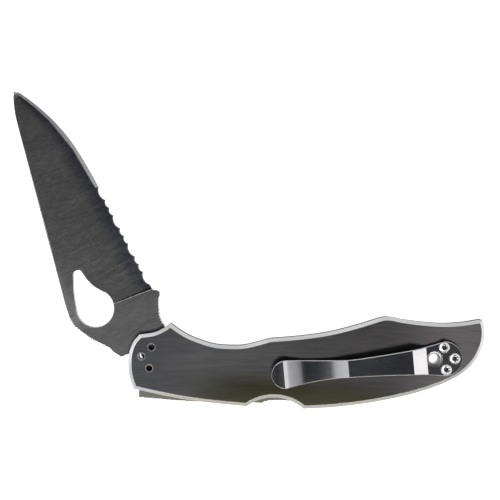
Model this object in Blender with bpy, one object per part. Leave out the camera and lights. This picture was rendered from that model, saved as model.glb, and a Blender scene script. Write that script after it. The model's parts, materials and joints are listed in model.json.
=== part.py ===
"""Folding lock-back knife, lying on its rear slab with the blade part open.

Origin: the blade pivot's axis at the rear slab's outer face.
+X runs along the handle to the butt, +Y towards the blade slot, +Z through the thickness.
Sizes below are in millimetres, and meshes are written in metres.
"""
import math

import bmesh
import bpy
from mathutils import Vector

MM = 0.001

# Driving dimensions
SLAB_THICK = 2.15
CHANNEL = 3.4
HANDLE_THICK = 2 * SLAB_THICK + CHANNEL
CHANNEL_Z = (SLAB_THICK, SLAB_THICK + CHANNEL)
SLAB_CHAMFER = 1.2
BLADE_THICK = 3.0
SIDE_GAP = (CHANNEL - BLADE_THICK) / 2
MID_Z = HANDLE_THICK / 2
FIT_GAP = 0.05

# Poses as the knife lies
BLADE_REST_DEG = -63.0
LOCK_BAR_REST_DEG = 4.6

# Axles
PIVOT_PIN_R = 1.5
BUSHING_R = 2.35
BLADE_BORE_R = 2.42
WASHER_R = 4.0
ROCKER_XY = (16.9, -11.4)
ROCKER_R = 1.2
SPACER_PIN_R = 1.1
SPACER_PIN_FRONT_XY = (54.5, -13.2)
SPACER_PIN_REAR_XY = (107.4, 2.4)
PIN_SKIN = 0.55

# Clip, its screws and the lanyard tube
SCREW_R = 0.95
SCREW_POINT = 0.2
SCREW_HOLE_R = 1.05
SCREW_HOLE_RIM = 0.18
SCREW_HEAD_R = 1.95
SCREW_HEAD_STEPS = [(0.0, 0.2), (0.1, 0.36), (0.4, 0.66), (0.83, 0.95)]
SOCKET_R = 0.95
SOCKET_DEEP = 0.8
SOCKET_LOBES = 6
FRONT_SCREWS = [(-1.83, 5.0), (-5.3, 1.8), (-2.57, -2.2)]
BUTT_SCREWS = [(98.8, 5.0), (102.4, 1.2), (99.5, -2.6)]
CLIP_THICK = 1.1
CLIP_PAD_XY = (99.0, 1.1)
CLIP_PAD_R = 6.0
CLIP_TIP_XY = (44.4, -4.3)
CLIP_TIP_R = 4.9
CLIP_RIM = 0.22
CLIP_BEND_SLANT = 0.09
LANYARD_XY = (95.5, 1.0)
LANYARD_BORE_R = 1.8
LANYARD_BODY_R = 2.15
LANYARD_LIP_R = 2.5
CLIP_LANYARD_HOLE_R = 2.7
LANYARD_LIP_DEEP = 0.6
LANYARD_FLARE = 1.1
LANYARD_GAP = 0.08
LANYARD_SEGMENTS = 32

# Blade
TANG_R = 6.25
TANG_TOP_DEG = 100.0
JIMP_PITCH = 0.95
JIMP_DEPTH = 0.22
CHOIL_JIMP_DEPTH = 0.34
NOTCH_REAR_X = -1.7
NOTCH_FLOOR_Y = -3.95
BEVEL_WIDE = 1.0
SPINE_DROP = 0.04
BLADE_TIP_XY = (-106.0, -1.75)
SHOULDER_HALF = 0.34
EDGE_HALF = 0.06
TIP_THINNING = 0.45
SERRATION_START_X = -62.95
SERRATION_START_Y = 9.25
SERRATION_RISE = 0.012
SERRATION_WIDTHS = (5.1, 3.0, 2.95) * 3 + (5.0,)
SERRATION_DEPTHS = (1.0, 0.7, 0.7) * 3 + (1.0,)
SERRATION_GRIND_LONG = 2.2
PLUNGE_TOP = (-23.1, 9.6)
PLUNGE_LOW = (-24.6, -4.3)
PLUNGE_FADE_X = -36.0
PLUNGE_EASE = 14.0
HOLE_MIDDLE_Y = -11.0


# Small geometry helpers

def curve_through(points, tolerance=0.018):
    """A Catmull-Rom curve through the points, with only as many chords as the tolerance needs."""
    points = [Vector(p) for p in points]
    ends = [2 * points[0] - points[1], *points, 2 * points[-1] - points[-2]]
    dense = []
    steps = 24
    for a, b, c, d in zip(ends, ends[1:], ends[2:], ends[3:]):
        knots = [0.0]
        for p, q in ((a, b), (b, c), (c, d)):
            knots.append(knots[-1] + math.sqrt((q - p).length))
        for i in range(steps):
            t = knots[1] + (knots[2] - knots[1]) * i / steps
            dense.append(_barry_goldman((a, b, c, d), knots, t))
    dense.append(ends[-2])
    return thinned(dense, tolerance)


def _barry_goldman(points, knots, t):
    level = list(points)
    for width in (1, 2):
        level = [
            level[i].lerp(level[i + 1], (t - knots[i]) / (knots[i + width] - knots[i]))
            for i in range(len(level) - 1)
        ]
    return level[0].lerp(level[1], (t - knots[1]) / (knots[2] - knots[1]))


def thinned(points, tolerance):
    """The points that a polyline needs to stay within the tolerance of the given ones."""
    if len(points) < 3:
        return points
    start, end = points[0], points[-1]
    chord = end - start
    length = max(chord.length, 1e-9)
    offsets = [abs(chord.x * (p - start).y - chord.y * (p - start).x) / length for p in points]
    worst = max(range(len(points)), key=lambda i: offsets[i])
    if offsets[worst] <= tolerance:
        return [start, end]
    return thinned(points[:worst + 1], tolerance)[:-1] + thinned(points[worst:], tolerance)


def arc(centre, radius, start_deg, end_deg, step_deg=7.5):
    """Points on a circular arc, both ends included."""
    count = max(2, math.ceil(abs(end_deg - start_deg) / step_deg))
    points = []
    for i in range(count + 1):
        angle = math.radians(start_deg + (end_deg - start_deg) * i / count)
        points.append(Vector(centre) + radius * Vector((math.cos(angle), math.sin(angle))))
    return points


def arc_through(a, b, c, step_deg=5.0):
    """The circular arc from a through b to c."""
    (ax, ay), (bx, by), (cx, cy) = a, b, c
    d = 2 * (ax * (by - cy) + bx * (cy - ay) + cx * (ay - by))
    sa, sb, sc = ax * ax + ay * ay, bx * bx + by * by, cx * cx + cy * cy
    ux = (sa * (by - cy) + sb * (cy - ay) + sc * (ay - by)) / d
    uy = (sa * (cx - bx) + sb * (ax - cx) + sc * (bx - ax)) / d
    angles = [math.degrees(math.atan2(y - uy, x - ux)) for x, y in (a, b, c)]
    turn = (angles[2] - angles[0]) % 360
    if (angles[1] - angles[0]) % 360 > turn:
        turn -= 360
    radius = math.hypot(ax - ux, ay - uy)
    return arc((ux, uy), radius, angles[0], angles[0] + turn, step_deg)


def joined(*stretches):
    """One closed loop from stretches that meet end to end, with corners where they meet."""
    loop = []
    for stretch in stretches:
        for point in stretch:
            point = Vector(point)
            if not loop or (point - loop[-1]).length > 1e-4:
                loop.append(point)
    if (loop[0] - loop[-1]).length < 1e-4:
        loop.pop()
    area = sum(p.x * q.y - q.x * p.y for p, q in zip(loop, loop[1:] + loop[:1]))
    return loop if area > 0 else loop[::-1]


def inset(loop, distance):
    """The counter-clockwise loop moved inwards, with mitred corners."""
    moved = []
    for before, here, after in zip(loop[-1:] + loop[:-1], loop, loop[1:] + loop[:1]):
        into = (here - before).normalized()
        out = (after - here).normalized()
        normal = Vector((-into.y, into.x)) + Vector((-out.y, out.x))
        normal.normalize()
        cosine = max(0.35, normal.dot(Vector((-into.y, into.x))))
        moved.append(here + normal * distance / cosine)
    return moved


def jimped(line, pitch, depth):
    """A line cut with fine grip grooves on its left side, one groove for each pitch."""
    groove_share = 0.5
    points = [Vector(p) for p in line]
    lengths = [0.0]
    for p, q in zip(points, points[1:]):
        lengths.append(lengths[-1] + (q - p).length)

    def at(distance):
        for i in range(len(points) - 1):
            if distance <= lengths[i + 1]:
                break
        step = points[i + 1] - points[i]
        place = points[i] + step * ((distance - lengths[i]) / step.length)
        return place, Vector((-step.y, step.x)).normalized()

    count = int(lengths[-1] // pitch)
    margin = (lengths[-1] - count * pitch) / 2
    made = [points[0]]
    for i in range(count):
        middle = margin + (i + 0.5) * pitch
        half = pitch * groove_share / 2
        made.append(at(middle - half)[0])
        place, normal = at(middle)
        made.append(place + normal * depth)
        made.append(at(middle + half)[0])
    made.append(points[-1])
    return made


# Mesh and object helpers

def clear_scene():
    for thing in list(bpy.data.objects):
        bpy.data.objects.remove(thing, do_unlink=True)


def finish_object(name, mesh_builder, material, smooth_deg=30.0):
    """An object from a bmesh in millimetres, its faces turned out and its round parts smooth."""
    bmesh.ops.recalc_face_normals(mesh_builder, faces=mesh_builder.faces)
    bmesh.ops.scale(mesh_builder, vec=(MM, MM, MM), verts=mesh_builder.verts)
    mesh = bpy.data.meshes.new(name)
    mesh_builder.to_mesh(mesh)
    mesh_builder.free()
    mesh.shade_smooth()
    mesh.set_sharp_from_angle(angle=math.radians(smooth_deg))
    thing = bpy.data.objects.new(name, mesh)
    bpy.context.scene.collection.objects.link(thing)
    if material:
        mesh.materials.append(material)
    return thing


def rings_solid(name, rings, material, capped=True):
    """A solid skinned over closed rings of equally many (x, y, z) points."""
    builder = bmesh.new()
    made = [[builder.verts.new(p) for p in ring] for ring in rings]
    pairs = list(zip(made, made[1:]))
    if not capped:
        pairs.append((made[-1], made[0]))
    for lower, upper in pairs:
        count = len(lower)
        for i in range(count):
            j = (i + 1) % count
            builder.faces.new((lower[i], lower[j], upper[j], upper[i]))
    if capped:
        builder.faces.new(made[0][::-1])
        builder.faces.new(made[-1])
    return finish_object(name, builder, material)


def plate(name, loop, low_z, high_z, material, low_chamfer=0.0, high_chamfer=0.0):
    """A flat plate of the loop's outline, with a chamfer on either face."""
    levels = []
    if low_chamfer:
        levels.append((inset(loop, low_chamfer), low_z))
    levels.append((loop, low_z + low_chamfer))
    levels.append((loop, high_z - high_chamfer))
    if high_chamfer:
        levels.append((inset(loop, high_chamfer), high_z))
    rings = [[(p.x, p.y, z) for p in ring] for ring, z in levels]
    return rings_solid(name, rings, material)


def turned(name, centre, profile, material, segments=40):
    """A solid turned about the Z line through the centre, from (radius, z) points.

    A profile that touches no axis is closed on itself, as a tube's is.
    """
    rings = []
    for i in range(segments):
        angle = 2 * math.pi * i / segments
        ring = [
            (centre[0] + r * math.cos(angle), centre[1] + r * math.sin(angle), z)
            for r, z in profile
        ]
        rings.append(ring)
    return rings_solid(name, rings, material, capped=False)


def round_bar(name, centre, levels, material, segments=24):
    """A round solid bar from (radius, z) levels, capped flat at both ends."""
    rings = []
    for radius, z in levels:
        ring = [(p.x, p.y, z) for p in arc(centre, radius, 0, 360, 360 / segments)[:-1]]
        rings.append(ring)
    return rings_solid(name, rings, material)


def cut_away(thing, cutter):
    """Cut one hidden solid out of another with an exact Boolean."""
    cutter.hide_render = True
    cutter.display_type = "WIRE"
    change = thing.modifiers.new(cutter.name, "BOOLEAN")
    change.operation = "DIFFERENCE"
    change.solver = "EXACT"
    change.object = cutter


def round_hole(thing, label, centre, levels, segments=24):
    cut_away(thing, round_bar(thing.name + "_cutter_" + label, centre, levels, None, segments))


def steel(name, colour, roughness, metallic=1.0):
    material = bpy.data.materials.new(name)
    material.use_nodes = True
    shader = material.node_tree.nodes["Principled BSDF"]
    shader.inputs["Base Color"].default_value = (*colour, 1.0)
    shader.inputs["Roughness"].default_value = roughness
    shader.inputs["Metallic"].default_value = metallic
    return material


# Outlines

def slab_outline():
    spine_front = curve_through([(-8.0, -9.4), (0, -11.2), (10, -13.1), (20, -14.4), (31, -15.4)])
    thumb_cut = arc_through((31, -15.4), (40, -12.4), (50.5, -16.3))
    spine_rear = curve_through([
        (50.5, -16.3), (60, -15.8), (70, -14.7), (80, -13.0), (90, -10.6), (100, -7.0),
        (106, -3.5), (110.2, 1.0), (112.6, 6.5), (113.0, 11.0), (112.2, 14.6),
    ])
    slot_rear = curve_through([
        (112.2, 14.6), (106, 13.6), (100, 13.15), (93, 13.5), (85, 14.5), (81, 15.3), (78.7, 15.4),
        (76.5, 14.95), (70, 12.9), (60, 10.35), (50, 8.85), (39, 7.95),
    ])
    slot_front = curve_through([
        (39, 7.95), (34.5, 6.7), (30, 5.7), (25, 5.55), (20, 6.0), (15, 7.45), (10, 9.6), (4.6, 13.25),
    ])
    scoop = curve_through([(4.6, 13.25), (2.5, 11.7), (-1, 10.1), (-6, 9.35)])
    nose = curve_through([(-6, 9.35), (-8.2, 6.8), (-9.6, 3.0), (-9.9, -1.0), (-9.4, -5.4), (-8.0, -9.4)])
    return joined(spine_front, thumb_cut, spine_rear, slot_rear, slot_front, scoop, nose)


def lock_bar_outline():
    """The lock bar in its locked place, before it is turned about its pin."""
    back = curve_through([(-6.5, -10.65), (-2, -11.45), (5, -12.6), (13, -13.75), (20, -14.55), (36, -16.1)])
    thumb_scallop = curve_through([(36, -16.1), (36.8, -15.75), (39.6, -15.45), (43, -15.7), (45.9, -16.2)])
    tail = [(45.9, -16.2), (45.6, -11.7)]
    inner = curve_through([
        (45.6, -11.7), (38, -11.3), (27, -11.2), (22.5, -10.95), (20.0, -10.0), (17.8, -8.8), (14.5, -8.1),
        (7, -7.4), (-1.7, -6.9),
    ])
    lug = [(-1.7, -6.9), (-2.0, -4.6), (-2.3, -4.3), (-5.3, -4.3), (-5.65, -4.6), (-6.5, -10.65)]
    return joined(back, thumb_scallop, tail, inner, lug)


def spacer_outline():
    thumb_end = [p for p in arc_through((31, -15.25), (40, -12.3), (50.4, -16.15)) if p.x > 46.7]
    spine = curve_through([
        (50.4, -16.15), (60, -15.65), (70, -14.55), (80, -12.85), (90, -10.45), (100, -6.85), (106, -3.35),
        (110.05, 1.1), (112.1, 5.6),
    ])
    end = [(112.1, 5.6), (104.6, 5.5)]
    round_tube = [(104.6, 5.5), (99.6, 0.9)] + arc(LANYARD_XY, 3.4, -15, -115, 12)
    inner = curve_through([(94.0, -2.1), (90, -4.0), (84, -6.2), (76, -8.2), (68, -9.5), (62.3, -10.2)])
    hook_slot = [(62.3, -10.2), (62.3, -12.1), (60.9, -12.1), (60.9, -10.3), (46.7, -10.4)]
    return joined([(46.7, -10.4), (46.7, -13.5)], thumb_end, spine, end, round_tube, inner, hook_slot)


def edge_line():
    """The cutting edge from the tip to the first serration."""
    return curve_through([
        BLADE_TIP_XY, (-105, -0.75), (-104, -0.1), (-103, 0.45), (-102, 0.95), (-100, 1.97), (-98, 2.9),
        (-96, 3.73), (-94, 4.5), (-92, 5.25), (-90, 5.9), (-85, 7.2), (-80, 8.15), (-70, 9.0),
        (SERRATION_START_X, SERRATION_START_Y),
    ], 0.006)


def serrated_line():
    """Scallops from the first serration to the edge's end, on a line that rises slightly."""
    x, tip_y = SERRATION_START_X, SERRATION_START_Y
    points = []
    for wide, deep in zip(SERRATION_WIDTHS, SERRATION_DEPTHS):
        next_y = tip_y + SERRATION_RISE * wide
        middle = (x + wide / 2, (tip_y + next_y) / 2 - deep)
        points += arc_through((x, tip_y), middle, (x + wide, next_y), 11.0)[:-1]
        x, tip_y = x + wide, next_y
    points.append(Vector((x, tip_y)))
    return points


def spine_line():
    """The blade's back from the thumb ramp to the tip."""
    return curve_through([
        (-23.4, -19.9), (-26, -20.2), (-30, -19.8), (-40, -17.7), (-60, -13.2), (-80, -9.05), (-90, -7.0),
        (-96, -5.7), (-98, -5.15), (-100, -4.5), (-103, -3.35), (-105, -2.4), BLADE_TIP_XY,
    ], 0.006)


def blade_outline():
    """The blade pointing along -X, locked open, with its pivot at the origin."""
    serrated = serrated_line()
    edge_end = [serrated[-1], (-23.1, 9.75)]
    choil = curve_through([
        (-23.1, 9.75), (-22.5, 10.2), (-22, 11.0), (-21, 11.6), (-20, 11.25), (-19.2, 10.4), (-17.5, 9.45),
        (-15.6, 8.65),
    ])
    belly = curve_through([(-15.6, 8.65), (-14, 8.1), (-12, 7.8), (-10.2, 7.85)])
    tang_top = arc((0, 0), TANG_R, TANG_TOP_DEG, 90)[0]
    to_tang = curve_through([(-10.2, 7.85), (-7, 7.4), (-3.6, 6.6), tang_top])
    rear_wall_deg = -180 + math.degrees(math.acos(-NOTCH_REAR_X / TANG_R))
    tang = arc((0, 0), TANG_R, TANG_TOP_DEG, rear_wall_deg, 6.0)
    notch = [(NOTCH_REAR_X, NOTCH_FLOOR_Y), (-5.95, NOTCH_FLOOR_Y), (-6.35, -4.6), (-6.95, -10.5)]
    shoulder = [(-6.95, -10.5), (-9.8, -12.1), (-11.0, -12.4)]
    ramp = curve_through([(-11.0, -12.4), (-13, -13.7), (-17, -16.7), (-20, -18.3), (-23.4, -19.9)])
    belly_grip = jimped(belly, JIMP_PITCH, -CHOIL_JIMP_DEPTH)
    ramp_grip = jimped(ramp, JIMP_PITCH, -JIMP_DEPTH)
    return joined(edge_line(), serrated, edge_end, choil, belly_grip, to_tang, tang, notch, shoulder,
                  ramp_grip, spine_line())


def comet_hole_outline():
    """A round thumb hole that trails off into a small round end towards the tip."""
    centre = (-26.0, -10.8)
    radius = 6.45
    small_centre = (-39.0, -10.9)
    small_r = 1.65
    upper = curve_through([
        arc(centre, radius, 118, 119)[0], (-30.4, -6.2), (-33, -7.8), (-36, -8.85),
        arc(small_centre, small_r, 95, 96)[0],
    ])
    small_end = arc(small_centre, small_r, 95, 257, 18)
    lower = curve_through([
        arc(small_centre, small_r, 257, 258)[0], (-35, -14.6), (-32, -15.7),
        arc(centre, radius, -112, -111)[0],
    ])
    return joined(arc(centre, radius, -112, 118, 6), upper, small_end, lower)


# Pieces

def make_slab(name, on_clip_side, material):
    """One handle slab: chamfered outer edge, blind pin seats, screw holes and the lanyard seat."""
    face_z = HANDLE_THICK if on_clip_side else 0.0
    into = -1 if on_clip_side else 1

    def depth(mm):
        return face_z + into * mm

    loop = slab_outline()
    if on_clip_side:
        slab = plate(name, loop, depth(SLAB_THICK), depth(0), material, high_chamfer=SLAB_CHAMFER)
    else:
        slab = plate(name, loop, depth(0), depth(SLAB_THICK), material, low_chamfer=SLAB_CHAMFER)
    beyond = SLAB_THICK + 1.0
    seats = {
        "pivot": ((0, 0), PIVOT_PIN_R),
        "rocker": (ROCKER_XY, ROCKER_R),
        "spacer_front": (SPACER_PIN_FRONT_XY, SPACER_PIN_R),
        "spacer_rear": (SPACER_PIN_REAR_XY, SPACER_PIN_R),
    }
    for label, (centre, radius) in seats.items():
        levels = [(radius + FIT_GAP, depth(PIN_SKIN)), (radius + FIT_GAP, depth(beyond))]
        round_hole(slab, label, centre, levels)
    above = 0.2
    rim = SCREW_HOLE_R + SCREW_HOLE_RIM + above
    for i, centre in enumerate(FRONT_SCREWS + BUTT_SCREWS):
        levels = [(rim, depth(-above)), (SCREW_HOLE_R, depth(SCREW_HOLE_RIM)), (SCREW_HOLE_R, depth(beyond))]
        round_hole(slab, "screw_%d" % i, centre, levels, 20)
    lip = LANYARD_LIP_R + LANYARD_GAP
    body = LANYARD_BODY_R + LANYARD_GAP
    slope = (lip - body) / LANYARD_LIP_DEEP
    levels = [(lip + above * slope, depth(-above)), (body, depth(LANYARD_LIP_DEEP)), (body, depth(beyond))]
    round_hole(slab, "lanyard", LANYARD_XY, levels, LANYARD_SEGMENTS)
    return slab


def grind_cutter(name, side):
    """The metal that the grinding wheels take off one face of the blade.

    side is +1 for the clip side and -1 for the rear face, which also carries the serrations.
    """
    edge = edge_line()
    serrated = serrated_line()
    spine = spine_line()[::-1]
    start_x, end_x = PLUNGE_TOP[0], edge[0].x
    beyond_x = end_x - 1.2
    xs = sorted({round(p.x, 3) for p in edge + serrated} | {start_x, SERRATION_START_X - 0.3, beyond_x})

    def y_on(line, x):
        for p, q in zip(line, line[1:]):
            if p.x <= x <= q.x:
                return p.y + (q.y - p.y) * (x - p.x) / max(q.x - p.x, 1e-9)
        return line[0].y if x < line[0].x else line[-1].y

    cutting = edge + serrated[1:] + [Vector((start_x, 9.75))]
    lean = (PLUNGE_LOW[0] - PLUNGE_TOP[0]) / (PLUNGE_LOW[1] - PLUNGE_TOP[1])
    rings = []
    for x in xs:
        along = (start_x - x) / (start_x - end_x)
        eased = min(1.0, (start_x - x) / PLUNGE_EASE)
        full = BLADE_THICK / 2
        spine_half = full - SPINE_DROP * eased - TIP_THINNING * along ** 2
        low, high = y_on(spine, x), y_on(cutting, x)
        is_serrated = x >= SERRATION_START_X
        if not is_serrated:
            wide, at_shoulder, at_edge = BEVEL_WIDE, SHOULDER_HALF, EDGE_HALF
        elif side > 0:
            wide, at_shoulder, at_edge = BEVEL_WIDE, SHOULDER_HALF + 0.04, SHOULDER_HALF
        else:
            wide, at_shoulder = SERRATION_GRIND_LONG, SHOULDER_HALF + 0.09
            at_edge = EDGE_HALF - SHOULDER_HALF
        wide = min(wide, 0.4 * (high - low) + 0.02)
        shear = lean * max(0.0, (x - PLUNGE_FADE_X) / (start_x - PLUNGE_FADE_X))
        fall = (at_shoulder - at_edge) / wide
        behind = max(0.1, min(0.9, (HOLE_MIDDLE_Y - low) / (high - wide - low)))
        flat_half = spine_half + (at_shoulder - spine_half) * behind
        half_there = full + (flat_half - full) * eased
        section = [(low - 2.0, spine_half + 0.1), (low, spine_half),
                   (low + behind * (high - wide - low), half_there), (high - wide, at_shoulder),
                   (high + 1.0, at_edge - fall), (high + 1.0, 3.0), (low - 2.0, 3.0)]
        rings.append([(x + shear * (y - PLUNGE_TOP[1]), y, MID_Z + side * z) for y, z in section])
    return rings_solid(name, rings, None)


def make_blade(material):
    low, high = MID_Z - BLADE_THICK / 2, MID_Z + BLADE_THICK / 2
    blade = plate("blade", blade_outline(), low, high, material)
    bore = [(BLADE_BORE_R, low - 1), (BLADE_BORE_R, high + 1)]
    cutters = [
        grind_cutter("blade_cutter_clip_side_grind", 1),
        grind_cutter("blade_cutter_rear_grind", -1),
        plate("blade_cutter_comet", comet_hole_outline(), low - 1, high + 1, None),
        round_bar("blade_cutter_bore", (0, 0), bore, None, 48),
    ]
    for cutter in cutters:
        cut_away(blade, cutter)
        cutter.parent = blade
    blade.rotation_euler.z = math.radians(BLADE_REST_DEG)
    return blade


def make_lock_bar(material):
    loop = [p - Vector(ROCKER_XY) for p in lock_bar_outline()]
    low, high = CHANNEL_Z[0] + SIDE_GAP, CHANNEL_Z[1] - SIDE_GAP
    bar = plate("lock_bar", loop, low, high, material, 0.15, 0.15)
    bore = ROCKER_R + 0.07
    cutter = round_bar("lock_bar_cutter_bore", (0, 0), [(bore, low - 1), (bore, high + 1)], None)
    cut_away(bar, cutter)
    cutter.parent = bar
    bar.location = (ROCKER_XY[0] * MM, ROCKER_XY[1] * MM, 0)
    bar.rotation_euler.z = math.radians(LOCK_BAR_REST_DEG)
    return bar


def make_back_spacer(material):
    low, high = CHANNEL_Z[0] + FIT_GAP, CHANNEL_Z[1] - FIT_GAP
    spacer = plate("back_spacer", spacer_outline(), low, high, material)
    for label, centre in (("front", SPACER_PIN_FRONT_XY), ("rear", SPACER_PIN_REAR_XY)):
        radius = SPACER_PIN_R + FIT_GAP
        round_hole(spacer, label, centre, [(radius, low - 1), (radius, high + 1)])
    return spacer


def make_lock_spring(material):
    """A leaf hooked into the spacer, its free end just above the lock bar's tail."""
    thick = 0.8
    hook = [(61.6, -11.7), (61.6, -10.4)]
    bend = arc((60.9, -10.3), 0.7, 0, 90, 22)
    leaf = curve_through([(60.9, -9.6), (55, -9.35), (49, -8.55), (44.5, -7.55), (41.8, -7.0)])
    middle = [Vector(p) for p in hook] + bend + leaf[1:]
    left, right = [], []
    for i, here in enumerate(middle):
        before, after = middle[max(i - 1, 0)], middle[min(i + 1, len(middle) - 1)]
        direction = (after - before).normalized()
        normal = Vector((-direction.y, direction.x))
        left.append(here + normal * thick / 2)
        right.append(here - normal * thick / 2)
    low, high = CHANNEL_Z[0] + 0.3, CHANNEL_Z[1] - 0.3
    return plate("lock_spring", joined(left, right[::-1]), low, high, material)


def make_pin(name, centre, radius, material):
    low, high = PIN_SKIN + FIT_GAP, HANDLE_THICK - PIN_SKIN - FIT_GAP
    return round_bar(name, centre, [(radius, low), (radius, high)], material)


def make_bushing(material):
    inner = PIVOT_PIN_R + FIT_GAP
    low, high = CHANNEL_Z[0] + FIT_GAP, CHANNEL_Z[1] - FIT_GAP
    profile = [(inner, low), (BUSHING_R, low), (BUSHING_R, high), (inner, high)]
    return turned("pivot_bushing", (0, 0), profile, material, 36)


def make_washer(name, low_z, material):
    thick = SIDE_GAP - 0.08
    inner = BUSHING_R + FIT_GAP
    profile = [(inner, low_z), (WASHER_R, low_z), (WASHER_R, low_z + thick), (inner, low_z + thick)]
    return turned(name, (0, 0), profile, material, 36)


def make_lanyard_tube(material):
    """A tube whose two ends flare out into seats in the slabs."""
    low, high = FIT_GAP, HANDLE_THICK - FIT_GAP
    profile = [(LANYARD_BODY_R, low + LANYARD_LIP_DEEP), (LANYARD_LIP_R, low)]
    reach = LANYARD_LIP_R - 0.2 - LANYARD_BORE_R
    rounds = 3
    for i in range(rounds + 1):
        angle = math.pi / 2 * i / rounds
        radius = LANYARD_BORE_R + reach * (1 - math.sin(angle))
        profile.append((radius, low + LANYARD_FLARE * (1 - math.cos(angle))))
    mirrored = [(r, low + high - z) for r, z in profile[::-1]]
    return turned("lanyard_tube", LANYARD_XY, profile + mirrored, material, LANYARD_SEGMENTS)


def clip_edges(x):
    """The clip's lower and upper edge at a place along its length."""
    upper = curve_through([
        (44.4, 0.6), (58, 0.6), (66, 0.75), (75, 2.0), (85, 3.7), (92.2, 5.1), (95.6, 6.05), (99, 7.1),
    ])
    lower = curve_through([
        (44.4, -9.2), (50, -7.75), (60, -5.95), (70, -5.1), (80, -4.6), (90, -4.4), (99, -4.9),
    ])

    def y_at(line):
        for p, q in zip(line, line[1:]):
            if x <= q.x:
                return p.y + (q.y - p.y) * (x - p.x) / (q.x - p.x)
        return line[-1].y

    for centre, radius, beyond in ((CLIP_TIP_XY, CLIP_TIP_R, -1), (CLIP_PAD_XY, CLIP_PAD_R, 1)):
        from_centre = (x - centre[0]) * beyond
        if from_centre >= 0:
            half = math.sqrt(max(radius ** 2 - from_centre ** 2, 0.0))
            return centre[1] - half, centre[1] + half
    return y_at(lower), y_at(upper)


def clip_bends():
    """The clip's underside along its length, as (x, rise above the slab), with its creases."""
    tip = [(39.7, 1.43), (41.5, 1.48), (43.6, 1.37)]
    heel = [(43.6, 1.37), (44.9, 0.98), (46.4, 0.70), (47.8, 0.45), (49.0, 0.26), (50.0, 0.13), (51.2, 0.08),
            (53, 0.10), (56, 0.18), (59.8, 0.30)]
    step = [(59.8, 0.30), (62, 0.66), (64, 1.03), (66, 1.44)]
    arm = [(66, 1.44), (75, 1.80), (84, 2.14), (87.8, 2.27)]
    ramp = [(87.8, 2.27), (88.8, 1.80), (90.3, 1.10), (91.6, 0.52), (92.7, FIT_GAP)]
    bends = [Vector(tip[0])]
    for stretch in (tip, heel, step, arm, ramp):
        bends += curve_through(stretch, 0.01)[1:]
    bends.append(Vector((CLIP_PAD_XY[0] + CLIP_PAD_R, FIT_GAP)))
    return bends


def clip_stations(bends):
    """Places along the clip: its bends, its round ends and a few in between."""
    round_ends = [CLIP_TIP_XY[0] - CLIP_TIP_R * math.cos(math.radians(a)) for a in range(6, 90, 8)]
    round_ends += [CLIP_PAD_XY[0] + CLIP_PAD_R * math.sin(math.radians(a)) for a in range(0, 88, 7)]
    along = [p.x for p in bends[1:-1]] + [70, 78, 95.5]
    return sorted(set(round(x, 2) for x in round_ends + along))


def make_pocket_clip(material):
    """A sprung strip: a pad on the slab, a ramp, a long arm, a heel and a raised tip."""
    bends = clip_bends()
    first, last = bends[0].x, bends[-1].x

    def rise_at(x):
        for p, q in zip(bends, bends[1:]):
            if x <= q.x:
                return p.y + (q.y - p.y) * (x - p.x) / (q.x - p.x)
        return bends[-1].y

    rings = []
    for x in clip_stations(bends):
        low, high = clip_edges(x)
        middle = (low + high) / 2
        slant = CLIP_BEND_SLANT * max(0.0, min(1.0, (x - first) / 4, (last - x) / 11))
        low = clip_edges(x + slant * (middle - low))[0]
        high = clip_edges(x - slant * (high - middle))[1]
        ease = min(CLIP_RIM, (high - low) / 5)
        slope = (rise_at(x + 0.05) - rise_at(x - 0.05)) / 0.1
        lean = -slope / math.hypot(1, slope)
        up = 1 / math.hypot(1, slope)
        under = HANDLE_THICK + rise_at(x)
        section = [(low, CLIP_RIM), (low + ease, 0), (high - ease, 0), (high, CLIP_RIM),
                   (high, CLIP_THICK - CLIP_RIM), (high - ease, CLIP_THICK), (low + ease, CLIP_THICK),
                   (low, CLIP_THICK - CLIP_RIM)]
        rings.append([(x - slant * (y - middle) + lean * t, y, under + up * t) for y, t in section])
    clip = rings_solid("pocket_clip", rings, material)
    below, above = HANDLE_THICK - 0.5, HANDLE_THICK + 3
    for i, centre in enumerate(BUTT_SCREWS):
        round_hole(clip, "screw_%d" % i, centre, [(SCREW_HOLE_R, below), (SCREW_HOLE_R, above)], 20)
    levels = [(CLIP_LANYARD_HOLE_R, below), (CLIP_LANYARD_HOLE_R, above)]
    round_hole(clip, "lanyard", LANYARD_XY, levels, 36)
    return clip


def make_clip_screw(name, centre, material):
    """A domed screw with a six-lobed socket."""
    seat = HANDLE_THICK + FIT_GAP + CLIP_THICK + FIT_GAP
    tip = HANDLE_THICK - SLAB_THICK + SCREW_POINT
    levels = [(SCREW_R - SCREW_POINT, tip), (SCREW_R, tip + SCREW_POINT), (SCREW_R, seat)]
    levels.append((SCREW_HEAD_R, seat))
    levels += [(SCREW_HEAD_R - inwards, seat + up) for inwards, up in SCREW_HEAD_STEPS]
    top = levels[-1][1]
    screw = round_bar(name, centre, levels, material, 28)
    lobes = []
    sides = 4 * SOCKET_LOBES
    for i in range(sides):
        angle = 2 * math.pi * i / sides
        radius = SOCKET_R * (0.86 + 0.14 * math.cos(SOCKET_LOBES * angle))
        lobes.append(Vector((centre[0] + radius * math.cos(angle), centre[1] + radius * math.sin(angle))))
    cut_away(screw, plate(name + "_cutter_socket", lobes, top - SOCKET_DEEP, top + 0.5, None))
    return screw


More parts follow.
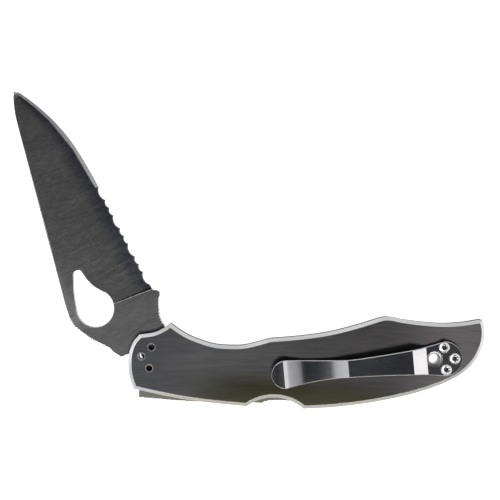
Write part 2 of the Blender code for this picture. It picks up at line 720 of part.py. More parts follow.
def main():
    clear_scene()
    slab_steel = steel("slab_steel", (0.20, 0.20, 0.20), 0.42)
    blade_steel = steel("blade_steel", (0.22, 0.22, 0.23), 0.38)
    lock_steel = steel("lock_steel", (0.24, 0.24, 0.22), 0.45)
    spring_steel = steel("spring_steel", (0.30, 0.30, 0.32), 0.35)
    pin_steel = steel("pin_steel", (0.50, 0.50, 0.50), 0.30)
    bronze = steel("bronze", (0.55, 0.38, 0.18), 0.35)
    clip_steel = steel("clip_steel", (0.45, 0.46, 0.48), 0.18)
    screw_steel = steel("screw_steel", (0.50, 0.50, 0.52), 0.25)
    tube_steel = steel("tube_steel", (0.55, 0.55, 0.55), 0.25)

    make_slab("clip_side_slab", True, slab_steel)
    make_slab("rear_slab", False, slab_steel)
    make_blade(blade_steel)
    make_lock_bar(lock_steel)
    make_back_spacer(lock_steel)
    make_lock_spring(spring_steel)
    make_pin("pivot_pin", (0, 0), PIVOT_PIN_R, pin_steel)
    make_bushing(bronze)
    make_washer("pivot_washer_rear", CHANNEL_Z[0] + 0.04, bronze)
    make_washer("pivot_washer_clip_side", CHANNEL_Z[1] - SIDE_GAP + 0.04, bronze)
    make_pin("rocker_pin", ROCKER_XY, ROCKER_R, pin_steel)
    make_pin("spacer_pin_front", SPACER_PIN_FRONT_XY, SPACER_PIN_R, pin_steel)
    make_pin("spacer_pin_rear", SPACER_PIN_REAR_XY, SPACER_PIN_R, pin_steel)
    make_lanyard_tube(tube_steel)
    make_pocket_clip(clip_steel)
    for i, centre in enumerate(BUTT_SCREWS):
        make_clip_screw("clip_screw_%d" % (i + 1), centre, screw_steel)


main()
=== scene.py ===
"""Looks of a folding rigging knife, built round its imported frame.

Lengths are in metres, angles in radians unless a name says degrees. X runs along the handle to
the butt, Y towards the side that the blade opens on, and Z up through the thickness.
"""
import json
import math

import bmesh
import bpy
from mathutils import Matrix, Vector


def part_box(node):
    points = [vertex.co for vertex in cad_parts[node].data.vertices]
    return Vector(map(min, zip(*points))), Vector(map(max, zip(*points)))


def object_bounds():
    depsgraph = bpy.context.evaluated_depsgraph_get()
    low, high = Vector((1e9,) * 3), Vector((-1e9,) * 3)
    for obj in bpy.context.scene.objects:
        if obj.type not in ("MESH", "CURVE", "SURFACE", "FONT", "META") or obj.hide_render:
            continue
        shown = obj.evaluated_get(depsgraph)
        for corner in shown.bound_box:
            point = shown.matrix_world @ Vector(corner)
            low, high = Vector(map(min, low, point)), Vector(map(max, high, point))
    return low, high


MM = 0.001

# Camera: straight down, far enough away to flatten the perspective
CAMERA_HIGH = 500 * MM
CAMERA_SHIFT = (0.49 * MM, -0.21 * MM)
VIEW_WIDE = 174.69 * MM
SENSOR = 36.0

# Places on the slabs that the finish and its painted light and shade follow, in millimetres: the
# middles of the open screw holes at the front, how far their rims reach, and where each change of
# tone or of painted light starts and ends
FRONT_HOLES = ((-1.83, 5.0), (-5.3, 1.8), (-2.57, -2.2))
HOLE_REACH = 1.75
HOLE_RIM = (1.55, 1.2)
FRONT_X = (-4, 14)
BACK_X = (24, 64)
BUTT_X = (78, 106)
LOW_LEAN = 0.08
LOW_Y = (2.5, -7)
LOW_START_X = (-4, 36)
LOW_END_X = (90, 62)
FOOT_Y = (-8, -14.5)
ARC_X = (-6, 4)
UNDER_Y = (7, -4)
UNDER_BUTT_X = (70, 96)

# The same on the blade, in its own frame: X towards the tang, Y towards the edge. Heights are from
# the middle plane, and the spine's line is Y = -SPINE_SLOPE * X - SPINE_DROP
TIP_TO_TANG_X = (-100, -40)
FLAT_HEIGHT = (1.30, 1.49)
NEAR_EDGE_HEIGHT = (0.68, 0.36)
BEVEL_HEIGHT = (0.36, 0.33)
SPINE_SLOPE = 0.1925
SPINE_DROP = 24.33
SPINE_STRIP = (6.5, 3.0)
STRIP_START_X = (-56, -32)
STRIP_END_X = (-20, -27)

# Where painted shade darkens the screws' recesses, in millimetres under their tops
RECESS = (0.3, 0.62)

# Where a chamfer or the clip's rim comes in, by how level or how sideways the surface is, and where
# the rim's painted shade on its lower side turns to painted light on its upper side
CHAMFER_FROM_FACE = (0.98, 0.9)
CHAMFER_TO_WALL = (0.3, 0.5)
RIM_ASIDE = (0.10, 0.18)
RIM_STEEP = (0.86, 0.76)
RIM_UPPER = (-0.05, 0.05)

# Wear and painted edge highlight: how alike the plain and the rounded normal are on an open face
# and on an edge, and a scratch's part of its noise, share of an edge's wear, share of the relief
# and lean off the lines
EDGE_NORMALS = (0.999, 0.90)
SCRATCH_BAND = 0.012
SCRATCH_WEAR = 0.7
SCRATCH_RELIEF = 0.6
SCRATCH_LEAN = 0.12

# Brushing: the share of fine lines, the share and size of clouds, the length and width of lines,
# and the part of the noise's range over which tone and roughness change
FINE_SHARE = 0.62
CLOUD_SHARE = 0.25
CLOUD_SIZE = (24 * MM, 9 * MM, 9 * MM)
LONG_GRAIN = (18 * MM, 0.16 * MM)
BLADE_GRAIN = (3.2 * MM, 0.10 * MM)
TONE_RANGE = (0.36, 0.64)
GLOSS_RANGE = (0.35, 0.65)

# What roughness loses on the chamfers and gains on the blade's edge and flats, and on the clip's
# marks and rim
CHAMFER_POLISH = 0.16
EDGE_POLISH = -0.08
FLAT_DULL = 0.08
MARK_DULL = 0.12
RIM_DULL = 0.30

# Studio. A wall's X says where across the sky it starts to come in and where it is whole
FLOOR_SIDE = 4.0
FLOOR_DROP = 0.3 * MM
FLOOR_COLOUR = (0.30, 0.30, 0.30, 1.0)
FLOOR_GLOW = 0.97
CARD_WAY = (0.06, 0.42, 1.0)
CARD_STRETCH = (1.8, 0.8, 1.0)
CARD_INNER = math.radians(23)
CARD_OUTER = math.radians(60)
CARD_COLOUR = (0.008, 0.009, 0.013, 1.0)
CLIP_SIDE_WALL = (0.60, 0.575, 0.52, 1.0)
SLOT_SIDE_WALL = (1.5, 1.52, 1.58, 1.0)
FRONT_WALL = (2.15, 2.15, 2.17, 1.0)
FRONT_WALL_X = (-0.1, -0.8)
BUTT_WALL = (1.62, 1.57, 1.51, 1.0)
BUTT_WALL_X = (0.3, 1.0)
WALL_FOOT_SHARE = 0.66
WALL_FOOT_Z = (0.05, 0.50)
SOFTBOX_FROM = (0.02, -0.25, 0.34)
SOFTBOX_SIZE = (0.5, 0.09)
SOFTBOX_POWER = 3.2
SOFTBOX_AIM = (0.045, 0.0, 0.0)

# The nodes' shading and small rounding, which keeps off the blade's thin edge and tip
EDGE_ANGLE = math.radians(24)
FLAT_ANGLE = math.radians(0.4)
GRIND_ANGLE = math.radians(1.2)
ROUND_ANGLE = math.radians(30)
CRISP_ANGLE = math.radians(9)
GROUND_ANGLE = math.radians(4)
TURNED_ANGLE = math.radians(50)
SLAB_ROUND = 0.07 * MM
BLADE_ROUND = 0.10 * MM
LOCK_ROUND = 0.12 * MM
SPRING_ROUND = 0.06 * MM
PIN_ROUND = 0.08 * MM
BRONZE_ROUND = 0.02 * MM
TUBE_ROUND = 0.06 * MM
CLIP_ROUND = 0.06 * MM
SCREW_ROUND = 0.05 * MM
THIN_HALF = 0.9 * MM
TIP_CLEAR = 8 * MM
WELD = 0.002 * MM


# Frame and places

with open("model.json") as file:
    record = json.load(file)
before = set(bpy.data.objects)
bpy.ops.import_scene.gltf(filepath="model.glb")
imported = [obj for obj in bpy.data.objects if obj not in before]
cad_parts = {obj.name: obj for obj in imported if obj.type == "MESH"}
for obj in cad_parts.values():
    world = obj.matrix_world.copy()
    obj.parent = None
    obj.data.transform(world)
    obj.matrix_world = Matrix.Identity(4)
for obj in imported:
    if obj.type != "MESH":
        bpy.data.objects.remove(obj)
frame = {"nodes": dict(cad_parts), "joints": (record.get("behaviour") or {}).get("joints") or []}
CAD_LOW, CAD_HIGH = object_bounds()
JOINTS = {joint["name"]: joint for joint in frame["joints"]}
BLADE_TURN = -math.radians(JOINTS["blade_swing"]["range_deg"][1])
ACROSS_BLADE = BLADE_TURN + math.pi / 2
MID_Z = JOINTS["blade_swing"]["pos_m"][2]


# Node trees

def grow(tree, kind, inputs=None, **settings):
    """A new node in a tree: its settings first, then a value or a link for each named input."""
    made = tree.nodes.new(kind)
    for name, value in settings.items():
        setattr(made, name, value)
    for socket, value in (inputs or {}).items():
        feed(tree, made.inputs[socket], value)
    return made


def feed(tree, socket, value):
    """Links a socket to another, or sets its own value."""
    if isinstance(value, bpy.types.NodeSocket):
        tree.links.new(value, socket)
    else:
        socket.default_value = value


class Nodes:
    """A cleared tree, with a short method for each sum and mix that the looks use."""

    def __init__(self, tree):
        self.tree = tree
        self.tree.nodes.clear()

    def node(self, kind, inputs=None, **settings):
        return grow(self.tree, kind, inputs, **settings)

    def maths(self, operation, a, b=0.0, c=0.0):
        return self.node("ShaderNodeMath", {0: a, 1: b, 2: c}, operation=operation).outputs[0]

    def times(self, a, b):
        return self.maths("MULTIPLY", a, b)

    def mean(self, a, b, share):
        """A weighted mean of two values, share being b's part."""
        return self.maths("MULTIPLY_ADD", b, share, self.times(a, 1 - share))

    def vector(self, operation, a, b=(0.0, 0.0, 0.0)):
        """The outputs of a sum of vectors."""
        return self.node("ShaderNodeVectorMath", {0: a, 1: b}, operation=operation).outputs

    def axes(self, place):
        """The three parts of a vector."""
        return self.node("ShaderNodeSeparateXYZ", {0: place}).outputs

    def spread(self, value, low, high, to_low=0.0, to_high=1.0, smooth=False):
        """The value's range from low to high, moved onto another range and clamped."""
        inputs = {
            "Value": value,
            "From Min": low,
            "From Max": high,
            "To Min": to_low,
            "To Max": to_high,
        }
        kind = "SMOOTHSTEP" if smooth else "LINEAR"
        return self.node("ShaderNodeMapRange", inputs, interpolation_type=kind).outputs[0]

    def across(self, value, reach):
        """A soft change from 0 to 1, over a pair of places in millimetres."""
        return self.spread(value, reach[0] * MM, reach[1] * MM, smooth=True)

    def blend(self, factor, a, b, kind="MIX"):
        """Colour a turned into colour b by the factor."""
        inputs = {0: factor, 6: a, 7: b}
        return self.node("ShaderNodeMix", inputs, data_type="RGBA", blend_type=kind).outputs[2]


class Shader(Nodes):
    """One material's nodes, with a short method for each pattern that the finishes use."""

    def __init__(self, name):
        self.material = bpy.data.materials.new(name)
        self.material.use_nodes = True
        super().__init__(self.material.node_tree)
        output = self.node("ShaderNodeOutputMaterial")
        self.surface = self.node("ShaderNodeBsdfPrincipled")
        self.tree.links.new(self.surface.outputs["BSDF"], output.inputs["Surface"])
        self.place = self.node("ShaderNodeTexCoord").outputs["Object"]

    def set(self, name, value):
        """One input of the surface."""
        feed(self.tree, self.surface.inputs[name], value)

    def turned(self, turn, size=(1.0, 1.0, 1.0), start=(0.0, 0.0, 0.0)):
        """Object coordinates in a frame turned about Z, counted in steps of size."""
        inputs = {"Vector": self.place, "Location": start, "Rotation": (0, 0, turn), "Scale": size}
        return self.node("ShaderNodeMapping", inputs, vector_type="TEXTURE").outputs[0]

    def noise(self, size, turn=0.0, detail=2.0, rough=0.5, seed=0.0, warp=0.0):
        """Noise whose features measure size along, across and through the turned frame."""
        inputs = {
            "Vector": self.turned(turn, size, (seed, seed, seed)),
            "Scale": 1.0,
            "Detail": detail,
            "Roughness": rough,
            "Distortion": warp,
        }
        return self.node("ShaderNodeTexNoise", inputs).outputs["Fac"]

    def height(self):
        """How far a point is from the knife's middle plane."""
        return self.maths("ABSOLUTE", self.maths("SUBTRACT", self.axes(self.place)["Z"], MID_Z))

    def facing(self, axis):
        """How much the surface faces along an axis of the object's rest frame, from -1 to 1."""
        normal = self.node("ShaderNodeNewGeometry").outputs["True Normal"]
        settings = {"vector_type": "NORMAL", "convert_from": "WORLD", "convert_to": "OBJECT"}
        own = self.node("ShaderNodeVectorTransform", {0: normal}, **settings).outputs[0]
        return self.axes(own)[axis]

    def slope(self):
        """How level the surface is: 1 on the flat faces and 0 on upright walls."""
        return self.maths("ABSOLUTE", self.facing("Z"))

    def edges(self, reach):
        """How near a point is to a sharp edge: 0 on an open face, 1 on the edge."""
        rounded = self.node("ShaderNodeBevel", {"Radius": reach}, samples=4).outputs[0]
        normal = self.node("ShaderNodeNewGeometry").outputs["Normal"]
        same = self.vector("DOT_PRODUCT", rounded, normal)["Value"]
        return self.spread(same, *EDGE_NORMALS)

    def scratches(self, turn, seed, long=14 * MM, wide=0.28 * MM, share=0.30):
        """Sparse thin scratches near one direction: 1 on a scratch and 0 elsewhere."""
        lines = self.noise((long, wide, wide), turn, detail=0.0, seed=seed, warp=0.15)
        middle = self.maths("ABSOLUTE", self.maths("SUBTRACT", lines, 0.5))
        thin = self.spread(middle, SCRATCH_BAND, 0.0)
        patches = self.noise((long, 2 * MM, 2 * MM), turn, detail=1.0, seed=seed + 3.1)
        kept = self.spread(patches, 1 - share, 1.06 - share)
        return self.times(thin, kept)

    def bump(self, height, depth, normal=None):
        """A bumped normal. Depth is the height's full range."""
        inputs = {"Height": height, "Distance": depth, "Strength": 1.0}
        if normal is not None:
            inputs["Normal"] = normal
        return self.node("ShaderNodeBump", inputs).outputs[0]


def grey(value, tint=(1.0, 1.0, 1.0)):
    """A near-grey colour."""
    return (value * tint[0], value * tint[1], value * tint[2], 1.0)


# Tones that a finish's noise runs between
SLAB_BRUSH = (grey(0.042, (1.0, 1.0, 1.04)), grey(0.065))
BLADE_BRUSH = (grey(0.066), grey(0.118))
LOCK_BRUSH = (grey(0.07, (1.0, 1.0, 0.88)), grey(0.10, (1.0, 1.0, 0.9)))
SPRING_BRUSH = (grey(0.2, (0.85, 0.95, 1.2)), grey(0.34, (0.9, 1.0, 1.1)))
PIN_BRUSH = (grey(0.5), grey(0.62))
TUBE_BRUSH = (grey(0.24), grey(0.30))
SCREW_BRUSH = (grey(0.58), grey(0.68))
CLIP_SMUDGE = (grey(0.64, (0.985, 0.99, 1.02)), grey(0.56, (0.97, 0.98, 1.05)))
# The bronze's stains, painted near-black as shade
BRONZE_STAIN_AND_SHADE = ((0.02, 0.015, 0.010, 1.0), (0.06, 0.04, 0.024, 1.0))

# Shares of the slab's brushed tone, from its front to its butt
SLAB_FRONT = grey(0.72, (0.97, 0.99, 1.05))
SLAB_MIDDLE = grey(0.86, (0.995, 1.0, 1.02))
SLAB_BACK = grey(0.68, (1.03, 0.985, 0.995))
SLAB_LOW = grey(0.31, (1.08, 1.05, 0.62))
SLAB_FOOT = grey(0.50, (1.07, 1.045, 0.69))
SLAB_BUTT = grey(1.42, (1.03, 0.985, 0.97))

# Painted light on the slab's chamfers by the way each faces, and painted shade on its open holes'
# rims
CHAMFER_ARC_LIGHT = grey(0.64, (0.985, 0.99, 1.0))
CHAMFER_TOP_LIGHT = grey(0.48, (1.0, 0.995, 0.985))
CHAMFER_FRONT_LIGHT = grey(0.36, (0.98, 0.99, 1.02))
CHAMFER_UNDER_LIGHT = grey(0.33, (1.0, 0.985, 0.89))
CHAMFER_BUTT_LIGHT = grey(0.31, (1.0, 0.99, 0.97))
HOLE_SHADE = grey(0.16)

# Shares of the blade's brushed tone, and the painted highlight that colours the cutting bevel
GRIND_TIP = grey(1.05)
GRIND_TANG = grey(0.90)
GRIND_EDGE = grey(1.0, (0.93, 0.97, 1.12))
BLADE_FLAT = grey(0.65)
BLADE_STRIP = grey(1.12)
BEVEL_HIGHLIGHT = grey(0.96)

# Painted light and shade on the clip's rim, lighter on its upper side and darker on its lower, and
# painted shade in the screws' recesses
RIM_UPPER_LIGHT = grey(0.5)
RIM_LOWER_SHADE = grey(0.17, (1.0, 0.985, 0.95))
RECESS_SHADE = grey(0.2)

# Tones of worn edges, which also paint a highlight along every sharp edge
SLAB_WEAR_AND_GLINT = grey(0.42)
HOLE_WEAR_AND_DIM_GLINT = grey(0.22)
BLADE_WEAR_AND_GLINT = grey(0.8)
LOCK_WEAR_AND_GLINT = grey(0.66)
SPRING_WEAR_AND_GLINT = grey(0.55)
PIN_WEAR_AND_GLINT = grey(0.72)
TUBE_WEAR_AND_GLINT = grey(0.76)
SCREW_WEAR_AND_GLINT = grey(0.8)
RIM_UPPER_WEAR_AND_LIGHT = grey(0.34)
RIM_LOWER_WEAR_AND_SHADE = grey(0.20)


# Finishes

def brush_lines(shader, turn, long, wide, seed):
    """Brushing at two scales: broad streaks that the eye sees and the fine lines inside them."""
    broad = shader.noise((long, 5 * wide, 5 * wide), turn, detail=3.0, rough=0.6, seed=seed)
    fine = shader.noise((0.4 * long, wide, wide), turn, detail=2.0, rough=0.7, seed=seed + 7.3)
    return broad, fine


def lay_tangent(shader, turn):
    """Spreads reflections square to the brushing, which runs along the turn."""
    inputs = {0: (-math.sin(turn), math.cos(turn), 0.0)}
    settings = {"vector_type": "VECTOR", "convert_from": "OBJECT", "convert_to": "WORLD"}
    way = shader.node("ShaderNodeVectorTransform", inputs, **settings)
    shader.set("Tangent", way.outputs[0])


def steel(
    name, brush, rough, turn=0.0, anisotropy=0.6, grain=LONG_GRAIN, seed=0.0, depth=0.006 * MM,
    marks=0.3,
):
    """Brushed steel: its two tones, its range of roughness, and its lines along the turn.

    Grain is a line's length and width, depth its height and marks the share of it with scratches.
    """
    shader = Shader(name)
    broad, fine = brush_lines(shader, turn, *grain, seed=seed)
    clouds = shader.noise(CLOUD_SIZE, turn, detail=2.0, seed=seed + 1.7)
    lines = shader.mean(broad, fine, FINE_SHARE)
    tone = shader.spread(shader.mean(lines, clouds, CLOUD_SHARE), *TONE_RANGE)
    shader.colour = shader.blend(tone, *brush)
    shader.gloss = shader.spread(lines, *GLOSS_RANGE, *rough)
    shader.scratched = shader.scratches(turn + SCRATCH_LEAN, seed + 11.0, share=marks)
    shader.set("Metallic", 1.0)
    shader.set("Anisotropic", anisotropy)
    lay_tangent(shader, turn)
    relief = shader.maths("SUBTRACT", lines, shader.times(shader.scratched, SCRATCH_RELIEF))
    shader.set("Normal", shader.bump(relief, depth))
    return shader


def finish_steel(shader, wear_and_glint, edge_reach=0.22 * MM, edge_polish=0.11):
    """Wear and painted highlight: edges and scratches brighter and smoother."""
    marks = shader.times(shader.scratched, SCRATCH_WEAR)
    wear_and_glint_mask = shader.maths("MAXIMUM", shader.edges(edge_reach), marks)
    # Edges painted brighter: partly wear, partly a painted highlight along every sharp edge
    shader.set("Base Color", shader.blend(wear_and_glint_mask, shader.colour, wear_and_glint))
    smoother = shader.times(wear_and_glint_mask, edge_polish)
    shader.set("Roughness", shader.maths("SUBTRACT", shader.gloss, smoother))
    return shader.material


def slab_tone(shader):
    """A slow drift of tone: bluish at the front, olive below the clip, rosy grey at the butt."""
    x, y, _ = shader.axes(shader.place)
    leant = shader.maths("ADD", y, shader.times(x, LOW_LEAN))
    low = shader.times(shader.across(leant, LOW_Y), shader.across(x, LOW_START_X))
    low = shader.times(low, shader.across(x, LOW_END_X))
    foot = shader.times(shader.across(y, FOOT_Y), low)
    tone = shader.blend(shader.across(x, FRONT_X), SLAB_FRONT, SLAB_MIDDLE)
    tone = shader.blend(shader.across(x, BACK_X), tone, SLAB_BACK)
    tone = shader.blend(low, tone, SLAB_LOW)
    tone = shader.blend(foot, tone, SLAB_FOOT)
    return shader.blend(shader.across(x, BUTT_X), tone, SLAB_BUTT)


def chamfer_light(shader):
    """Painted light on the chamfers, brightest at the top of the front and dullest under the butt.
    """
    x, y, _ = shader.axes(shader.place)
    back = shader.across(x, ARC_X)
    butt = shader.across(x, UNDER_BUTT_X)
    upper = shader.blend(back, CHAMFER_ARC_LIGHT, CHAMFER_TOP_LIGHT)
    lower = shader.blend(back, CHAMFER_FRONT_LIGHT, CHAMFER_UNDER_LIGHT)
    lower = shader.blend(butt, lower, CHAMFER_BUTT_LIGHT)
    return shader.blend(shader.across(y, UNDER_Y), upper, lower)


def from_holes(shader):
    """How far a point is from the middle of the nearest open screw hole at the front."""
    flat = shader.vector("MULTIPLY", shader.place, (1.0, 1.0, 0.0))[0]
    nearest = 1.0
    for x, y in FRONT_HOLES:
        away = shader.vector("DISTANCE", flat, (x * MM, y * MM, 0.0))["Value"]
        nearest = shader.maths("MINIMUM", nearest, away)
    return nearest


def slab_steel():
    """Lengthwise brushed faces, darker and bluer at the front, with painted light on the chamfers
    and painted shade at the open holes.
    """
    shader = steel("slab_steel", SLAB_BRUSH, rough=(0.34, 0.42), anisotropy=0.85, marks=0.08)
    face = shader.blend(1.0, shader.colour, slab_tone(shader), "MULTIPLY")
    away = from_holes(shader)
    # Painted shade on the rims and walls of the open screw holes
    face = shader.blend(shader.across(away, HOLE_RIM), face, HOLE_SHADE)
    outside = shader.maths("GREATER_THAN", away, HOLE_REACH * MM)
    level = shader.slope()
    off_face = shader.spread(level, *CHAMFER_FROM_FACE)
    off_wall = shader.spread(level, *CHAMFER_TO_WALL)
    chamfer = shader.times(shader.times(off_face, off_wall), outside)
    # Painted light: the chamfers take a brighter colour by the way they face
    shader.colour = shader.blend(chamfer, face, chamfer_light(shader))
    shader.gloss = shader.maths("SUBTRACT", shader.gloss, shader.times(chamfer, CHAMFER_POLISH))
    # Worn edges with painted glint, dimmer at the open holes as painted shade
    wear_and_glint = shader.blend(outside, HOLE_WEAR_AND_DIM_GLINT, SLAB_WEAR_AND_GLINT)
    return finish_steel(shader, wear_and_glint, edge_reach=0.12 * MM)


def blade_steel():
    """Satin steel ground across the blade, darker on the flats and bluer towards the edge."""
    shader = steel(
        "blade_steel", BLADE_BRUSH, rough=(0.34, 0.42), turn=ACROSS_BLADE, grain=BLADE_GRAIN,
        seed=2.0, marks=0.1,
    )
    height = shader.height()
    flat = shader.across(height, FLAT_HEIGHT)
    near_edge = shader.across(height, NEAR_EDGE_HEIGHT)
    bevel = shader.spread(height, BEVEL_HEIGHT[0] * MM, BEVEL_HEIGHT[1] * MM)
    x, y, _ = shader.axes(shader.turned(BLADE_TURN))
    along = shader.spread(x, TIP_TO_TANG_X[0] * MM, TIP_TO_TANG_X[1] * MM)
    tone = shader.blend(along, GRIND_TIP, GRIND_TANG)
    tone = shader.blend(near_edge, tone, GRIND_EDGE)
    tone = shader.blend(flat, tone, BLADE_FLAT)
    tone = shader.blend(spine_strip(shader, x, y), tone, BLADE_STRIP)
    shader.colour = shader.blend(1.0, shader.colour, tone, "MULTIPLY")
    # Painted highlight: the cutting bevel is coloured far brighter than the faces
    shader.colour = shader.blend(bevel, shader.colour, BEVEL_HIGHLIGHT)
    shader.gloss = shader.maths("MULTIPLY_ADD", near_edge, EDGE_POLISH, shader.gloss)
    shader.gloss = shader.maths("MULTIPLY_ADD", flat, FLAT_DULL, shader.gloss)
    return finish_steel(shader, BLADE_WEAR_AND_GLINT, edge_reach=0.32 * MM)


def spine_strip(shader, x, y):
    """1 on the strip between the thumb hole and the spine, fading at both ends and to the edge."""
    inwards = shader.maths("MULTIPLY_ADD", x, SPINE_SLOPE, y)
    inwards = shader.maths("ADD", inwards, SPINE_DROP * MM)
    length = shader.times(shader.across(x, STRIP_START_X), shader.across(x, STRIP_END_X))
    return shader.times(shader.across(inwards, SPINE_STRIP), length)


def lock_steel():
    """Satin steel of the lock bar and the back spacer."""
    shader = steel("lock_steel", LOCK_BRUSH, rough=(0.36, 0.46), seed=4.0)
    return finish_steel(shader, LOCK_WEAR_AND_GLINT)


def spring_steel():
    """Blued leaf spring."""
    shader = steel("spring_steel", SPRING_BRUSH, rough=(0.25, 0.35), seed=5.0)
    return finish_steel(shader, SPRING_WEAR_AND_GLINT)


def pin_steel():
    """Ground pins."""
    shader = steel("pin_steel", PIN_BRUSH, rough=(0.26, 0.34), anisotropy=0.3, seed=6.0)
    return finish_steel(shader, PIN_WEAR_AND_GLINT)


def tube_steel():
    """The lanyard tube's turned steel, with wear and a painted highlight at its rims."""
    shader = steel(
        "tube_steel", TUBE_BRUSH, rough=(0.34, 0.42), anisotropy=0.0, seed=7.0, depth=0.001 * MM,
    )
    return finish_steel(shader, TUBE_WEAR_AND_GLINT)


def screw_steel():
    """Bright turned screw heads with painted shade in their recesses."""
    shader = steel(
        "screw_steel", SCREW_BRUSH, rough=(0.16, 0.24), anisotropy=0.0, seed=8.0, depth=0.003 * MM,
    )
    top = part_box("clip_screw_1")[1].z
    under_top = shader.maths("SUBTRACT", top, shader.axes(shader.place)["Z"])
    # Painted shade on everything deeper than the heads' tops, such as the sockets
    shader.colour = shader.blend(shader.across(under_top, RECESS), shader.colour, RECESS_SHADE)
    return finish_steel(shader, SCREW_WEAR_AND_GLINT)


def clip_steel():
    """Mirror-bright spring steel with hairline scratches and faint orange peel, and painted light
    and shade on its rim.
    """
    shader = Shader("clip_steel")
    hair = shader.scratches(0.05, 21.0, long=20 * MM, wide=0.2 * MM, share=0.45)
    cross = shader.scratches(0.7, 23.0, long=9 * MM, wide=0.2 * MM, share=0.3)
    marks = shader.maths("MAXIMUM", hair, shader.times(cross, 0.6))
    smudge = shader.noise((14 * MM, 6 * MM, 6 * MM), 0.3, detail=3.0, seed=5.0)
    peel = shader.noise((2.2 * MM, 1.4 * MM, 1.4 * MM), detail=1.0, seed=9.0)
    shader.colour = shader.blend(shader.spread(smudge, 0.35, 0.7), *CLIP_SMUDGE)
    shader.gloss = shader.spread(smudge, 0.4, 0.75, 0.08, 0.13)
    shader.gloss = shader.maths("MULTIPLY_ADD", marks, MARK_DULL, shader.gloss)
    sideways = shader.facing("Y")
    aside = shader.spread(shader.maths("ABSOLUTE", sideways), *RIM_ASIDE)
    steep = shader.spread(shader.slope(), *RIM_STEEP)
    rim = shader.maths("MAXIMUM", aside, steep)
    # Painted light and shade on the rim: lighter on the side facing +Y, darker on the side facing
    # -Y
    upper = shader.spread(sideways, *RIM_UPPER)
    rim_light_and_shade = shader.blend(upper, RIM_LOWER_SHADE, RIM_UPPER_LIGHT)
    shader.colour = shader.blend(rim, shader.colour, rim_light_and_shade)
    shader.gloss = shader.maths("MULTIPLY_ADD", rim, RIM_DULL, shader.gloss)
    shader.scratched = marks
    shader.set("Metallic", 1.0)
    soft = shader.bump(peel, 0.006 * MM)
    clear = shader.maths("SUBTRACT", 1.0, marks)
    shader.set("Normal", shader.bump(clear, 0.002 * MM, normal=soft))
    # Worn edges with painted glint, lighter on the rim's +Y side than on its -Y side
    wear_and_glint = shader.blend(upper, RIM_LOWER_WEAR_AND_SHADE, RIM_UPPER_WEAR_AND_LIGHT)
    return finish_steel(shader, wear_and_glint, edge_reach=0.15 * MM, edge_polish=0.0)


def bronze():
    """Bronze washers and bushing with mottled stains, painted near-black as shade seen through the
    open holes.
    """
    shader = Shader("bronze")
    stain = shader.noise((1.6 * MM, 1.6 * MM, 1.6 * MM), detail=4.0, rough=0.6, seed=12.0)
    shader.set("Metallic", 1.0)
    # Painted shade: near-black, so the washers seen through the open holes read as shade
    shader.set("Base Color", shader.blend(shader.spread(stain, 0.35, 0.65), *BRONZE_STAIN_AND_SHADE))
    shader.set("Roughness", shader.spread(stain, 0.3, 0.7, 0.35, 0.6))
    shader.set("Normal", shader.bump(stain, 0.01 * MM))
    return shader.material


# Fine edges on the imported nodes

def edge_tree(name):
    """An empty geometry tree with its way in and the socket that ends it."""
    tree = bpy.data.node_groups.new(name, "GeometryNodeTree")
    for side in ("INPUT", "OUTPUT"):
        tree.interface.new_socket("Geometry", in_out=side, socket_type="NodeSocketGeometry")
    way_in = tree.nodes.new("NodeGroupInput").outputs[0]
    return tree, way_in, tree.nodes.new("NodeGroupOutput").inputs[0]


def shade_tree(name, sharp_from):
    """Shades a mesh smooth, except across edges that turn by more than an angle."""
    tree, mesh, end = edge_tree(name)
    inputs = {"Geometry": mesh, "Name": "custom_normal"}
    plain = grow(tree, "GeometryNodeRemoveAttribute", inputs).outputs[0]
    angle = grow(tree, "GeometryNodeInputMeshEdgeAngle").outputs["Unsigned Angle"]
    gentle = grow(tree, "FunctionNodeCompare", {0: angle, 1: sharp_from}, operation="LESS_THAN")
    smooth = grow(tree, "GeometryNodeSetShadeSmooth", {"Geometry": plain, "Shade Smooth": True})
    inputs = {"Geometry": smooth.outputs[0], "Shade Smooth": gentle.outputs[0]}
    edges = grow(tree, "GeometryNodeSetShadeSmooth", inputs, domain="EDGE")
    tree.links.new(edges.outputs[0], end)
    return tree


def pick_tree():
    """Gives a bevel weight to edges that turn sharply, away from the blade's thin edge and tip."""
    tree, mesh, end = edge_tree("pick_edges")
    angle = grow(tree, "GeometryNodeInputMeshEdgeAngle").outputs["Unsigned Angle"]
    place = grow(tree, "GeometryNodeInputPosition").outputs[0]
    _, y, z = grow(tree, "ShaderNodeSeparateXYZ", {0: place}).outputs

    def maths(operation, a, b=0.0):
        return grow(tree, "ShaderNodeMath", {0: a, 1: b}, operation=operation).outputs[0]

    half = maths("ABSOLUTE", maths("SUBTRACT", z, MID_Z))
    sharp = maths("GREATER_THAN", angle, EDGE_ANGLE)
    stout = maths("GREATER_THAN", half, THIN_HALF)
    before_tip = maths("LESS_THAN", y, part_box("blade")[1].y - TIP_CLEAR)
    weight = maths("MULTIPLY", sharp, maths("MULTIPLY", stout, before_tip))
    inputs = {"Geometry": mesh, "Name": "bevel_weight_edge", "Value": weight}
    stored = grow(tree, "GeometryNodeStoreNamedAttribute", inputs, data_type="FLOAT", domain="EDGE")
    tree.links.new(stored.outputs[0], end)
    return tree


